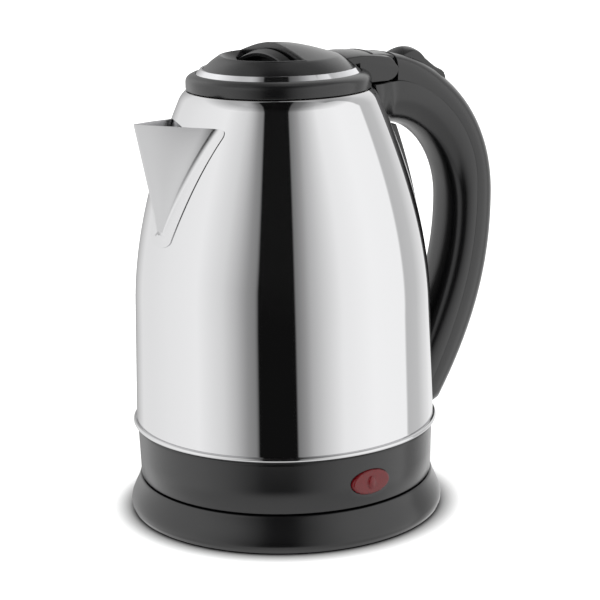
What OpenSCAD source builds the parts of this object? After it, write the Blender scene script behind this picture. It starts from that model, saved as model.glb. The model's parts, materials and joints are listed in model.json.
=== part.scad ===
// Cordless electric kettle with its power base.
// Origin: centre of the face that the base rests on. +Z up, +X to the handle, -Y to the lamp.

/* [Power base] */
// Outer radius of the base's foot
base_r = 77.4; // [76.9:0.1:78.4]
// Height of the base's rim
base_h = 17.4; // [16.9:0.1:17.6]
// Wall of the base shell
base_wall = 2.4; // [2:0.1:2.8]
// Radius of the connector tower
tower_r = 14; // [13:0.1:14]
// Height of the connector tower's top
tower_top = 29; // [27:0.5:29.5]
// Bore of the cord inlet
inlet_r = 3.5; // [3:0.1:3.8]

/* [Kettle body] */
// Radius of the steel body at its lower edge
body_r = 73.5; // [73.3:0.1:73.6]
// Height of the steel body's lower edge
body_z = 44.4; // [44.3:0.1:44.6]
// Sheet thickness of the steel body
steel = 0.8; // [0.6:0.1:1]
// Radius of the mouth under the lid
mouth_r = 41.5; // [41.3:0.1:42]
// Radius of the skirt's lower edge
skirt_r = 72.1; // [71.8:0.1:72.3]
// Width of the lamp lens
lens_w = 21; // [18:0.5:23]
// Height of the lamp lens
lens_h = 12; // [10:0.5:14]

/* [Spout] */
// Distance of the spout's tip from the axis
spout_x = 79.3; // [76:0.1:82]
// Half width of the spout where it meets the body
spout_y = 20.4; // [19:0.1:21.5]
// Number of rows of strainer holes behind the spout
strainer_rows = 6; // [4:1:6]

/* [Handle] */
// Half width of the grip
grip_y = 15; // [14:0.1:15.5]
// Wall of the handle's shells
grip_wall = 2.5; // [2:0.1:3]
// Half width of the switch rocker
rocker_y = 7.6; // [7:0.1:8]

/* [Lid] */
// Radius of the lid's collar
collar_r = 44.5; // [44:0.1:44.7]
// Radius of the inner lid cover
plug_r = 38; // [36:0.1:38.4]
// Radius of the hinge pin
pin_r = 1.5; // [1.4:0.05:1.6]

/* [Hidden] */
$fn = 96;
gap = 0.4;                 // free space between pieces that move against each other
eps = 0.01;
hinge = [54, 214];         // x and z of the lid's hinge pin
rocker_pin = [84, 206];    // x and z of the switch's pin
rocker_pin_r = 1.2;
running = 0.05;            // radial play of a pin in a turning bore
nose_y = 12;               // half width of the handle's nose between the lid's ears
nose_r = 10.9;             // radius of the nose's front face about the hinge
ear_y = [12.4, 15.8];      // inner and outer face of a lid ear
ear_r = 5.6;               // round end of a lid ear
skirt_top = 44.1;
lamp_z = 29.7;
plate_z = 47;              // underside of the heating plate
steam_z = 198;             // height of the steam outlet
grip_steps = 14;           // sections along each stretch of the handle
BLACK = [0.13, 0.13, 0.14];
STEEL = [0.82, 0.82, 0.83];

// ---- curves ---------------------------------------------------------------------------------

// Point of a cubic Bezier curve p at t
function at(p, t) = let (s = 1 - t)
    s * s * s * p[0] + 3 * s * s * t * p[1] + 3 * s * t * t * p[2] + t * t * t * p[3];
// Points along a cubic Bezier curve, both ends included
function bez(p, n) = [for (i = [0:n]) at(p, i / n)];
// Points on an arc about c
function arc(c, r, a0, a1, n) = [for (i = [0:n]) let (a = a0 + (a1 - a0) * i / n)
    c + r * [cos(a), sin(a)]];
// A list of points from its last to its first
function back(l) = [for (i = [len(l) - 1:-1:0]) l[i]];
// An outline moved away from the axis by d
function out(l, d) = [for (p = l) [p.x + d, p.y]];
// An ellipse of half widths a and b
function oval(a, b, n = 48) = [for (i = [0:n - 1]) [a * cos(i * 360 / n), b * sin(i * 360 / n)]];

// Outside of the steel body, from its lower edge to the top of the shoulder
body_side = concat([[body_r, body_z], [body_r, body_z + 2]],
    bez([[72.1, 105], [71.4, 133], [63.7, 168], [46.5, 206.3]], 20));
// Straight and curved stretches of the handle, each as x and z in its middle plane
outer_top = [[60, 220.6], [98, 214], [125.4, 184], [125.4, 143]];
outer_low = [[125.4, 143], [125.4, 110], [117, 76], [90, 38]];
seam_top = [[60, 207.3], [83, 204.5], [110.5, 182], [110.5, 150]];
seam_low = [[110.5, 150], [110.5, 118], [104, 90], [81, 50]];
inner_top = [[58, 190.5], [82, 189], [98.9, 166], [98.9, 140]];
inner_low = [[98.9, 140], [98.9, 118], [93, 98], [79, 72]];
foot_outer = [74, 31];
foot_seam = [72, 42];
foot_inner = [71.5, 56];

// ---- shared shapes --------------------------------------------------------------------------

// Turned part from an outline of radius and height
module turned(outline) { rotate_extrude($fn = 128) polygon(outline); }

// Round rod along Y through [x, z]
module rod_y(at_xz, r, half) {
    translate([at_xz.x, 0, at_xz.y]) rotate([90, 0, 0]) cylinder(r = r, h = 2 * half, center = true);
}

// Places a child at x and z in the middle plane, with its +Z along +X
module along_x(x, z) { translate([x, 0, z]) rotate([0, 90, 0]) children(); }

// Plate with an outline in x and z, from y = -half to y = half
module plate_xz(outline, half) {
    rotate([90, 0, 0]) linear_extrude(2 * half, center = true) polygon(outline);
}

// Copies turned about the axis
module around(count, start = 0) {
    for (i = [0:count - 1]) rotate(start + i * 360 / count) children();
}

// Everything inside the kettle's outside, grown by g, for fitting parts against it
module kettle_outside(g) {
    turned(concat([[0, 17], [skirt_r + g, 17], [73 + g, 42.6], [75.1 + g, 43.9], [75.1 + g, 46.8]],
        out([for (i = [2:len(body_side) - 1]) body_side[i]], g), [[0, 206.3]]));
}

// Cross section of a half shell: a rounded U of height h and half width w, seen from its seam
function half_shell(h, w, wall, n) = concat(
    [for (i = [0:n]) soft(i * 180 / n, h, w)],
    [for (i = [n:-1:0]) soft(i * 180 / n, h - wall, w - wall)]);
function soft(a, h, w) = let (c = cos(a), s = max(sin(a), 0))
    [h * pow(s, 0.8), w * sign(c) * pow(abs(c), 0.8)];

// Half shell swept along stations [seam point, crest point, half width]; side is 1 for a crest
// on the grip's inner side and -1 for one on its outer side
module swept_shell(stations, wall, side) {
    n = 12;
    count = 2 * (n + 1);
    rings = [for (st = stations) let (d = st[1] - st[0], h = norm(d), u = d / h)
        [for (q = half_shell(h, st[2], wall, n)) let (p = st[0] + u * q.x) [p.x, side * q.y, p.y]]];
    last = len(rings) - 1;
    points = [for (r = rings, p = r) p];
    sides = [for (k = [0:last - 1], i = [0:count - 1]) let (j = (i + 1) % count, a = k * count)
        [a + i, a + j, a + count + j, a + count + i]];
    caps = [for (i = [0:n - 1]) let (j = count - 1 - i) [i, j, j - 1, i + 1]];
    ends = [for (i = [0:n - 1]) let (j = count - 1 - i, a = last * count)
        [a + i, a + i + 1, a + j - 1, a + j]];
    polyhedron(points, concat(sides, caps, ends), convexity = 6);
}

// Stations of a stretch between a seam curve and a crest curve
function stretch(seam, crest, w0, w1, from = 0) = [for (i = [from:grip_steps]) let (t = i / grip_steps)
    [at(seam, t), at(crest, t), w0 + (w1 - w0) * min(1, 2.5 * t)]];

// Round tube swept along points, with 8 sides
module wire(path, r) {
    n = 8;
    last = len(path) - 1;
    rings = [for (k = [0:last]) let (
            d = path[min(k + 1, last)] - path[max(k - 1, 0)],
            u = d / norm(d), v = [0, 1, 0], w = cross(u, v))
        [for (i = [0:n - 1]) path[k] + r * (v * cos(i * 360 / n) + w * sin(i * 360 / n))]];
    sides = [for (k = [0:last - 1], i = [0:n - 1]) let (j = (i + 1) % n, a = k * n)
        [a + i, a + n + i, a + n + j, a + j]];
    polyhedron([for (q = rings, p = q) p],
        concat(sides, [[for (i = [0:n - 1]) i], [for (i = [n - 1:-1:0]) last * n + i]]));
}

// ---- power base -----------------------------------------------------------------------------

screw_r = 60;              // distance of the base's screws from the axis
inlet_z = 7;               // height of the cord inlet

module base_shell() color(BLACK) {
    floor_z = base_h - 2.8;
    under_z = floor_z - base_wall;
    difference() {
        turned(concat(
            [[base_r - 0.4, 0.6], [base_r, 3], [base_r, 7]],
            bez([[base_r, 7.5], [base_r - 0.6, 12.5], [73.4, 13.5], [72.6, base_h - 0.5]], 8),
            [[72, base_h], [69.5, base_h], [66, floor_z], [20, floor_z], [18.6, floor_z + 1.6],
             [tower_r + gap, floor_z + 1.6], [tower_r + gap, under_z], [64, under_z],
             [67.5, 14.8], [70, 14.8], [base_r - base_wall - 1, 8], [base_r - base_wall, 3.4],
             [base_r - base_wall, 0.6]]));
        along_x(70, inlet_z) cylinder(r = inlet_r + 1.8, h = 12);
        along_x(66, inlet_z) cylinder(r = inlet_r + 2.6, h = 7.1);
    }
    around(3, 60) translate([screw_r, 0, 3.3]) difference() {
        cylinder(r = 3.4, h = under_z - 3.2);
        translate([0, 0, -eps]) cylinder(r = 1.4, h = 7);
    }
}

module base_bottom() color([0.1, 0.1, 0.11]) difference() {
    union() {
        translate([0, 0, 1.2]) cylinder(r = base_r - base_wall - 0.1, h = 2);
        cylinder(r = 32, h = 3.2);
    }
    around(3, 60) translate([screw_r, 0, 0]) {
        cylinder(r = 3.2, h = 1.9);
        cylinder(r = 1.6, h = 5);
    }
    around(4, 45) translate([58, 0, 0]) cylinder(r = 6, h = 2.2);
    along_x(66, inlet_z) cylinder(r = inlet_r + 2.7, h = 12);
}

module base_feet() color([0.2, 0.2, 0.2])
    around(4, 45) translate([58, 0, 0]) cylinder(r = 6, h = 2.2);

module base_screws() color(STEEL)
    around(3, 60) translate([screw_r, 0, 1.9]) screw_up(1.4, 2.9, 7);

// Screw with its head down at z = 0 and its shank up
module screw_up(r, head, h) {
    difference() {
        translate([0, 0, -1.2]) cylinder(r = head, h = 1.2);
        translate([-1.8, -0.4, -1.3]) cube([3.6, 0.8, 0.7]);
        translate([-0.4, -1.8, -1.3]) cube([0.8, 3.6, 0.7]);
    }
    translate([0, 0, -eps]) cylinder(r = r, h = h);
}

module cord_inlet() color([0.18, 0.18, 0.19])
    along_x(71.5, inlet_z) difference() {
        union() {
            cylinder(r = inlet_r + 1.8, h = 6.3);
            cylinder(r = inlet_r + 2.6, h = 1.6);
        }
        translate([0, 0, -1]) cylinder(r = inlet_r, h = 10);
    }

module base_connector() color([0.2, 0.2, 0.21]) difference() {
    turned([[0, 8.6], [17, 8.6], [17, 11.8], [tower_r, 11.8], [tower_r, tower_top - 1.5],
            [tower_r - 1.5, tower_top], [0, tower_top]]);
    translate([0, 0, 15]) cylinder(r = 3.4, h = 20);
    translate([0, 0, 16]) difference() {
        cylinder(r = 8.6, h = 20);
        cylinder(r = 6.4, h = 20);
    }
}

module base_contacts() color("goldenrod") {
    translate([0, 0, 15]) cylinder(r = 3.3, h = 1.5);
    translate([0, 0, 16]) difference() {
        cylinder(r = 8.5, h = 1.5);
        translate([0, 0, -1]) cylinder(r = 6.5, h = 4);
    }
}

// ---- kettle body ----------------------------------------------------------------------------

// Outline of the spout's opening in y and z, grown by g
function spout_v(g) = [[-spout_y - 1.3 * g, 194.9 + 0.2 * g], [0, 142 - 2.6 * g],
                       [spout_y + 1.3 * g, 194.9 + 0.2 * g]];

module steel_body() color(STEEL) difference() {
    turned(concat(body_side, [[45.8, 207], [mouth_r, 207.3], [mouth_r, 207.3 - steel]],
        [[45.8 - steel, 207 - steel]], back(out(body_side, -steel))));
    strainer_holes();
    along_x(40, steam_z) cylinder(r = 3.6, h = 20);
}

// Rows of round holes in the body wall behind the spout
module strainer_holes() {
    for (row = [0:strainer_rows - 1]) let (z = 156 + 6 * row)
        for (k = [-row:2:row])
            translate([-70, 2.7 * k, z]) rotate([0, 90, 0]) cylinder(r = 1.6, h = 40, $fn = 24);
}

// Shell on the body's outside, from g0 to g1 away from it
module body_skin(g0, g1) {
    turned(concat(out(body_side, g1), back(out(body_side, g0))));
}

module spout() color(STEEL) {
    tip = [-spout_x, 197.9];
    keel = [-68, 141];
    flange = 5.5;
    intersection() {
        body_skin(0.05, 0.95);
        translate([-100, 0, 0]) rotate([90, 0, 90]) linear_extrude(100) difference() {
            union() {
                polygon([[-26, 190.5], [-24.6, 194.6], [24.6, 194.6], [26, 190.5],
                         [7, 143], [-7, 143]]);
                translate([0, 146.5]) circle(r = 8);
                for (s = [-1, 1]) translate([s * 23, 191.4]) circle(r = 3.2);
            }
            polygon(spout_v(-0.8));
        }
    }
    for (s = [-1, 1]) spout_wall(tip, keel, s);
}

// One side of the folded spout, a flat sheet from the keel to the body
module spout_wall(tip, keel, side) {
    t = 0.9;
    corner = [-47.3, side * spout_y, 194.9];
    front = [tip.x, 0, tip.y];
    foot = [keel.x + 1.2, 0, keel.y];
    root = 0.16 * (corner - front);      // how far the sheet runs back into the body's outline
    inner = [front, foot, corner + root, foot + root];
    points = concat(inner, [for (p = inner) p + [t * 0.85, -side * t * 0.3, 0]]);
    faces = side > 0
        ? [[0, 1, 3, 2], [4, 6, 7, 5], [0, 2, 6, 4], [2, 3, 7, 6], [3, 1, 5, 7], [1, 0, 4, 5]]
        : [[0, 2, 3, 1], [4, 5, 7, 6], [0, 4, 6, 2], [2, 6, 7, 3], [3, 7, 5, 1], [1, 5, 4, 0]];
    difference() {
        polyhedron(points, faces);
        kettle_core();
    }
}

// The space inside the steel body's outside, which the spout's walls stop at
module kettle_core() {
    turned(concat([[0, 100], [72.1, 100]], out([for (i = [2:len(body_side) - 1]) body_side[i]], 0.1),
        [[0, 206.3]]));
}

module body_ring() color(STEEL)
    turned([[body_r + 0.05, 44.3], [74.6, 44.3], [75.1, 44.9], [75.1, 45.8], [74.6, 46.4],
            [body_r + 0.05, 46.5]]);

module heating_plate() color(STEEL)
    turned([[0, plate_z], [70.5, plate_z], [70.5, body_z + 0.4], [body_r - steel - 0.15, body_z + 0.4],
            [body_r - steel - 0.15, plate_z + 1], [0, plate_z + 1]]);

module heat_spreader() color([0.75, 0.76, 0.78])
    translate([0, 0, plate_z - 4]) cylinder(r = 52, h = 4);

module heating_element() color([0.55, 0.55, 0.57]) {
    ring_r = 42;
    tube_r = 3.8;
    sweep = 300;
    translate([0, 0, plate_z - 4 - tube_r]) {
        rotate(-90 + (360 - sweep) / 2) rotate_extrude(angle = sweep)
            translate([ring_r, 0]) circle(r = tube_r, $fn = 32);
        for (s = [-1, 1]) rotate(-90 + s * ((360 - sweep) / 2 + 5)) translate([ring_r, 0, -8])
            cylinder(r = 2.4, h = 7.2, $fn = 32);
    }
}

module control_unit() color([0.86, 0.85, 0.8]) difference() {
    union() {
        translate([0, 0, 34.2]) cylinder(r = 17, h = 7);
        translate([-26, -6, 36]) cube([52, 12, 5.2]);
    }
    for (s = [-1, 1]) translate([s * 10, 0, 41.2 - 0.9]) cylinder(r = 6.3, h = 3);
}

module control_bimetals() color([0.7, 0.72, 0.7])
    for (s = [-1, 1]) translate([s * 10, 0, 41.3]) cylinder(r = 6, h = 0.8);

module kettle_connector() color([0.2, 0.2, 0.21])
    turned([[tower_r + gap, 18.8], [18, 18.8], [18, 30], [20, 30], [20, 34], [0, 34], [0, 31],
            [tower_r + gap, 31]]);

module kettle_contacts() color("goldenrod") {
    turned([[0, 20], [1.6, 20], [2.8, 21.4], [2.8, 30.9], [0, 30.9]]);
    turned([[7, 20.4], [8, 20.4], [8, 30.9], [7, 30.9]]);
}

module skirt() color(BLACK) {
    difference() {
        turned([[skirt_r - 2.4, 18.4], [skirt_r - 0.4, 18], [skirt_r, 18.4], [73, 42.6],
                [72.4, skirt_top], [69.9, skirt_top], [skirt_r - 2.4, 42]]);
        translate([0, 0, lamp_z]) rotate([90, 0, 0]) linear_extrude(90)
            polygon(oval(lens_w / 2 + 0.1, lens_h / 2 + 0.1));
        translate([60, -7, 33.5]) cube([20, 14, 7.5]);
    }
    around(3, 60) translate([64, 0, 22]) difference() {
        union() {
            cylinder(r = 4, h = 16);
            translate([0, -1.5, 0]) cube([6, 3, 16]);
        }
        translate([0, 0, -eps]) cylinder(r = 1.5, h = 10);
    }
}

module bottom_cover() color([0.1, 0.1, 0.11]) difference() {
    union() {
        translate([0, 0, 19.4]) cylinder(r = skirt_r - 2.5, h = 2.2);
        translate([0, 0, 19.4]) cylinder(r = 20.5, h = 10.4);
    }
    translate([0, 0, 15]) cylinder(r = 18.2, h = 30);
    around(3, 60) translate([64, 0, 18]) {
        cylinder(r = 3.1, h = 2.6);
        cylinder(r = 1.6, h = 6);
    }
}

module kettle_screws() color(STEEL)
    around(3, 60) translate([64, 0, 20.6]) screw_up(1.5, 2.9, 9);

// ---- lamp -----------------------------------------------------------------------------------

module lamp_lens() color([0.75, 0.05, 0.06]) {
    front = skirt_r + 1.6;
    translate([0, 0, lamp_z]) rotate([90, 0, 0]) {
        translate([0, 0, 68.5]) linear_extrude(front - 68.5) polygon(oval(lens_w / 2, lens_h / 2));
        translate([0, 0, 66.9]) linear_extrude(1.6) polygon(oval(lens_w / 2 + 1.2, lens_h / 2 + 1.2));
    }
}

module lamp_bulb() color([0.9, 0.6, 0.3])
    translate([-5, -63.4, lamp_z]) rotate([0, 90, 0]) cylinder(r = 2.4, h = 10, $fn = 32);

module lamp_holder() color([0.86, 0.85, 0.8]) difference() {
    translate([-8.5, -66.9, lamp_z - 5]) cube([17, 9, 10]);
    translate([-6.5, -67.2, lamp_z - 3]) cube([13, 7, 6]);
}

// ---- handle ---------------------------------------------------------------------------------

joint_inner = at(inner_low, 0.85);   // where a screw holds the two shells together: on the inner
joint_seam = at(seam_low, 0.85);     // curve and on the seam
screw_seat = 5.5;          // depth of the screw's head below the grip's inner face

// Places a child on the screw's line, with its +Z from the grip's inner side to its outer side
module on_screw_line(from) {
    d = joint_seam - joint_inner;
    translate([from.x, 0, from.y]) rotate([0, atan2(d.x, d.y), 0]) children();
}

module handle_strap() color([0.1, 0.1, 0.11]) intersection() {
    body_skin(0.3, 5.6);
    translate([40, -grip_y, 62]) cube([60, 2 * grip_y, 124]);
}

module handle_inner_shell() color(BLACK) difference() {
    union() {
        swept_shell(concat(
            [[[42, 207.2], [48, 187], 21], [[52, 207.25], [54, 188.5], 18.5]],
            stretch(seam_top, inner_top, 16.5, grip_y),
            stretch(seam_low, inner_low, grip_y, grip_y, 1),
            [[foot_seam, foot_inner, grip_y]]), grip_wall, 1);
        on_screw_line(joint_inner) cylinder(r = 3.4, h = norm(joint_seam - joint_inner) - 0.1);
    }
    on_screw_line(joint_inner) {
        translate([0, 0, -5]) cylinder(r = 2.7, h = 5 + screw_seat);
        cylinder(r = 1.6, h = 20);
    }
    kettle_outside(0.3);
    translate([40, -30, 207.25]) cube([20, 60, 4]);
    clear_strap();
}

// Room for the strap where the handle's shells pass over it
module clear_strap() {
    intersection() {
        body_skin(0.2, 5.8);
        translate([40, -grip_y - 0.2, 61.8]) cube([60, 2 * grip_y + 0.4, 124.4]);
    }
}

module handle_outer_shell() color(BLACK) difference() {
    union() {
        swept_shell(concat(
            [[[54.5, 207.3], [54.5, 221.1], grip_y]],
            stretch(seam_top, outer_top, grip_y, grip_y),
            stretch(seam_low, outer_low, grip_y, grip_y, 1),
            [[foot_seam + [0, -0.2], foot_outer, grip_y]]), grip_wall, -1);
        on_screw_line(joint_seam) translate([0, 0, 0.1]) cylinder(r = 3.4, h = 16.7);
        plate_xz(concat(arc(hinge, nose_r, 217, 133.5, 12), [[55, 221.1], [62.5, 220], [62.5, 207.5]]),
            nose_y);
    }
    kettle_outside(0.3);
    on_screw_line(joint_seam) translate([0, 0, -1]) cylinder(r = 1.35, h = 9);
    rod_y(hinge, pin_r, 20);
    rod_y(rocker_pin, rocker_pin_r, grip_y - 1.1);
    for (s = [-1, 1]) translate([0, s * (nose_y + 5), 0]) {
        rod_y(hinge, ear_r + gap + 0.1, 4.9);
        plate_xz([[50, 214], [59.9, 214.5], [59.5, 216.5], [57.9, 222.4], [57.3, 226.5], [50, 232]], 4.9);
    }
    translate([63.2, -rocker_y - gap, 196]) cube([33.2, 2 * (rocker_y + gap), 30]);
    translate([56, -8, 207]) cube([12, 16, 9]);
}

// Tabs welded on the steel body, inside the handle's two roots
module handle_brackets() color(STEEL) difference() {
    union() {
        for (s = [-1, 1]) translate([45, s * 6.7 - 2.5, 195.8]) cube([14, 5, 2]);
        translate([70, -8, 48]) cube([8, 16, 4]);
    }
    kettle_outside(0.05);
}

module handle_screws() color(STEEL) on_screw_line(joint_inner) translate([0, 0, screw_seat])
    screw_up(1.3, 2.4, norm(joint_seam - joint_inner) - screw_seat + 6);

wire_route = concat([[26, 38.5], [30, 38.5], [36, 33.5], [50, 33.5], [60, 35.5], [66, 36], [76, 38]],
    [for (i = [12:-1:1]) (at(seam_low, i / 12) * 0.55 + at(outer_low, i / 12) * 0.45)],
    [for (i = [12:-1:6]) (at(seam_top, i / 12) * 0.55 + at(outer_top, i / 12) * 0.45)],
    [[97, 196.3], [93.05, 196.3]]);

module internal_wires() color([0.8, 0.3, 0.2]) {
    for (y = [-5, 5]) wire([for (p = wire_route) [p.x, y, p.y]], 1.1);
    for (x = [-4, 4]) translate([x, -20.3, 33]) rotate([90, 0, 0]) cylinder(r = 1.1, h = 37.5, $fn = 16);
}

module steam_tube() color([0.85, 0.85, 0.82])
    along_x(46, steam_z) difference() {
        cylinder(r = 3.5, h = 22);
        translate([0, 0, -1]) cylinder(r = 2.2, h = 30);
    }

module switch_contacts() color("goldenrod")
    for (s = [-1, 1]) translate([86, s * 5 - 1.5, 195.2]) cube([7, 3, 2.2]);

module switch_bimetal() color([0.7, 0.72, 0.7])
    along_x(69, steam_z) cylinder(r = 6, h = 0.6);

module switch_pin() color(STEEL) rod_y(rocker_pin, rocker_pin_r, grip_y - 1.4);

module hinge_pin() color(STEEL) rod_y(hinge, pin_r, ear_y[1] - 1);

// ---- switch ---------------------------------------------------------------------------------

module switch_rocker() color([0.16, 0.16, 0.17]) difference() {
    plate_xz(concat([[63.6, 213.8], [63.6, 219]],
        bez([[63.9, 219.4], [67, 222], [73.5, 224], [79.4, 218.5]], 8),
        bez([[80, 218], [84.4, 214.9], [89, 212.2], [94, 209.9]], 6),
        [[95, 208.8], [95.6, 206.4], [95.9, 204.6], [90, 203.6], [84, 202.8], [78, 204.4]]), rocker_y);
    rod_y(rocker_pin, rocker_pin_r + running, 20);
}

// ---- lid ------------------------------------------------------------------------------------

dome_side = concat(bez([[36.2, 217.3], [34.6, 219.8], [32.4, 222], [29, 223]], 6),
    bez([[28.5, 223.15], [19, 226.2], [9, 229.3], [0, 229.3]], 8));

module lid_frame() color(BLACK) difference() {
    union() {
        turned(concat([[36.5, 209.2], [43, 209.2], [43.3, 207.9], [44, 207.8], [collar_r, 208.8]],
            bez([[collar_r, 211.5], [collar_r, 213.6], [43, 214.8], [39.8, 215.5]], 8),
            [[39.8, 214.6], [36, 214.6], [36, 216.6], [33.5, 216.6], [33.5, 211.8], [36.5, 211.8]]));
        difference() {
            plate_xz([[33, 212], [42, 212], [42, 207.9], [53.4, 207.9], [54, 208.3], [53.4, 219.5],
                [48, 220.3], [44, 221.8], [39, 222.2], [33, 221.4]], ear_y[1]);
            cylinder(r = 43, h = 209.3);
            cylinder(r = 39.9, h = 217.9);
            cylinder(r = 36.7, h = 240);
        }
        rod_y(hinge, ear_r, ear_y[1]);
    }
    rod_y(hinge, nose_r + gap, ear_y[0]);
    translate([46, -ear_y[0], 200]) cube([20, 2 * ear_y[0], 30]);
    rod_y(hinge, pin_r + running, ear_y[1] - 0.8);
    around(4, 45) translate([lid_screw_r, 0, 200]) cylinder(r = 1.15, h = 14, $fn = 24);
}

module lid_trim_ring() color([0.9, 0.9, 0.91])
    turned(concat([[36.3, 214.7], [39.7, 214.7]],
        bez([[39.5, 215.6], [39, 216.7], [37.6, 217.5], [36.3, 217.6]], 5)));

module lid_cap() color([0.15, 0.15, 0.16]) {
    wall = 2.2;
    difference() {
        turned(concat([[33.2, 216.7], [36.2, 216.7]], dome_side, [[0, 229.3 - wall]],
            back([for (p = dome_side) if (p.x > 3 && p.y > 218.4) p - wall * [0.9, 0.8]])));
        pocket(0);
    }
    intersection() {
        difference() {
            pocket(1.6);
            pocket(0);
        }
        turned(concat([[0, 216], [33, 216]], dome_side));
    }
    grip_bar();
}

// Hollow for the fingers, a half disc in plan, grown by g
module pocket(g) intersection() {
    translate([0, 0, 217.6 - g]) cylinder(r = 27.5 + g, h = 20);
    translate([-40, -40, 200]) cube([36 + g, 80, 60]);
}

// Arched bar that the fingers hold, across the pocket
module grip_bar() {
    crest = 226;
    bow = 47;
    intersection() {
        translate([-7.4, 0, crest - bow]) rotate([0, 90, 0]) difference() {
            cylinder(r = bow, h = 4.8, center = true);
            cylinder(r = bow - 3, h = 10, center = true);
        }
        translate([-20, -26.8, 216.4]) cube([20, 53.6, 20]);
    }
}

lid_screw_r = 34.9;        // distance of the lid's screws from the axis

module lid_cover() color(STEEL) difference() {
    union() {
        turned([[0, 199.4], [plug_r - 2, 199.4], [plug_r, 201.4], [plug_r, 207.9], [plug_r - 0.8, 207.9],
                [plug_r - 0.8, 201.8], [plug_r - 2.2, 200.2], [0, 200.2]]);
        turned([[32.6, 207.9], [plug_r, 207.9], [plug_r, 209.1], [32.6, 209.1]]);
    }
    around(4, 45) translate([lid_screw_r, 0, 205]) cylinder(r = 1.2, h = 10, $fn = 24);
}

module lid_gasket() color([0.75, 0.75, 0.75])
    turned([[plug_r + 0.05, 207.8], [42.4, 207.8], [42.8, 208.4], [42.8, 209.1], [plug_r + 0.05, 209.1]]);

module lid_screws() color(STEEL)
    around(4, 45) translate([lid_screw_r, 0, 207.9]) screw_up(1.1, 1.5, 5);

// ---- build ----------------------------------------------------------------------------------

base_shell();
base_bottom();
base_feet();
base_screws();
cord_inlet();
base_connector();
base_contacts();
steel_body();
spout();
body_ring();
heating_plate();
heat_spreader();
heating_element();
control_unit();
control_bimetals();
kettle_connector();
kettle_contacts();
skirt();
bottom_cover();
kettle_screws();
lamp_lens();
lamp_bulb();
lamp_holder();
handle_strap();
handle_inner_shell();
handle_outer_shell();
handle_brackets();
handle_screws();
internal_wires();
steam_tube();
switch_contacts();
switch_bimetal();
switch_pin();
hinge_pin();
switch_rocker();
lid_frame();
lid_trim_ring();
lid_cap();
lid_cover();
lid_gasket();
lid_screws();
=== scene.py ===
"""Cordless electric kettle: the looks of every part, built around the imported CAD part."""

import json
import logging
import math
from collections.abc import Sequence
from dataclasses import dataclass
from enum import Enum

import bmesh
import bpy
from mathutils import Matrix, Vector


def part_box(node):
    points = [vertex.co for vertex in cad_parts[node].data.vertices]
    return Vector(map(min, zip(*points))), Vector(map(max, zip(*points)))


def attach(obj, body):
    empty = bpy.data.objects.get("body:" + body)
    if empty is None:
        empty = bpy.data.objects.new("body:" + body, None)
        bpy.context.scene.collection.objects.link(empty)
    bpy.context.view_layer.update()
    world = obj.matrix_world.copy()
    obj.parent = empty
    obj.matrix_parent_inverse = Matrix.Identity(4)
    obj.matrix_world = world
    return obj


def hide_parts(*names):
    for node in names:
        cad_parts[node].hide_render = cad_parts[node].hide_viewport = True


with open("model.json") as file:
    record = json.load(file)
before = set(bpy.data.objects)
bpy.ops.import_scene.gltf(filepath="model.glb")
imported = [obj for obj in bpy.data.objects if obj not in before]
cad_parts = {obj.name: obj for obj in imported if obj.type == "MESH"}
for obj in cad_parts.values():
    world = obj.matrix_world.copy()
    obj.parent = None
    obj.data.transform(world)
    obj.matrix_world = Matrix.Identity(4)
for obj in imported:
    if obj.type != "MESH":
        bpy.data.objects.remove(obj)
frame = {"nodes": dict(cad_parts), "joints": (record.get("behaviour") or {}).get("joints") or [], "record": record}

LOG = logging.getLogger("kettle")
MM = 0.001
SMOOTH_ANGLE = math.radians(34)
WELD = 1e-6  # distance in metres under which two vertices are one
CROWN_RISE = 6.0  # height in millimetres over which a crown grows to its full fall
WHITE = (1, 1, 1, 1)
Point = tuple[float, float]
Corner = tuple[float, float, float]
Mesh = bmesh.types.BMesh
Tree = bpy.types.NodeTree
Socket = bpy.types.NodeSocket


# ---- curves ------------------------------------------------------------------------------------


def at(curve: Sequence[Point], t: float) -> Point:
    """Return the point of a cubic Bezier curve at t.

    Args:
        curve: The curve's four control points.
        t: The place along the curve, from 0 to 1.

    Returns:
        The point.
    """
    s = 1 - t
    weights = (s * s * s, 3 * s * s * t, 3 * s * t * t, t * t * t)
    return tuple(sum(w * p[i] for w, p in zip(weights, curve)) for i in (0, 1))


def bezier(curve: Sequence[Point], steps: int) -> list[Point]:
    """Return the points along a cubic Bezier curve, both ends included."""
    return [at(curve, i / steps) for i in range(steps + 1)]


def arc(centre: Point, radius: float, start: float, end: float, steps: int) -> list[Point]:
    """Return points on a circle's arc, with its angles in degrees."""
    angles = [math.radians(start + (end - start) * i / steps) for i in range(steps + 1)]
    return [(centre[0] + radius * math.cos(a), centre[1] + radius * math.sin(a)) for a in angles]


def moved(outline: list[Point], dx: float, dy: float = 0.0) -> list[Point]:
    """Return an outline moved by dx and dy."""
    return [(x + dx, y + dy) for x, y in outline]


def blend(a: float, b: float, t: float) -> float:
    """Return the value between a and b, eased at both ends."""
    s = t * t * (3 - 2 * t)
    return a + (b - a) * s


# ---- shapes ------------------------------------------------------------------------------------


class Join(Enum):
    """How one solid is combined with another."""

    CUT = "DIFFERENCE"
    KEEP = "INTERSECT"


def chain(bm: Mesh, points: list[Vector], closed: bool) -> list[bmesh.types.BMVert]:
    """Add a line of joined edges through points and return its vertices.

    Args:
        bm: The mesh to add to.
        points: The line's points, in metres.
        closed: Whether the last point joins the first.

    Returns:
        The new vertices, in order.
    """
    verts = [bm.verts.new(p) for p in points]
    pairs = list(zip(verts, verts[1:]))
    if closed:
        pairs.append((verts[-1], verts[0]))
    for a, b in pairs:
        bm.edges.new((a, b))
    return verts


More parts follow.
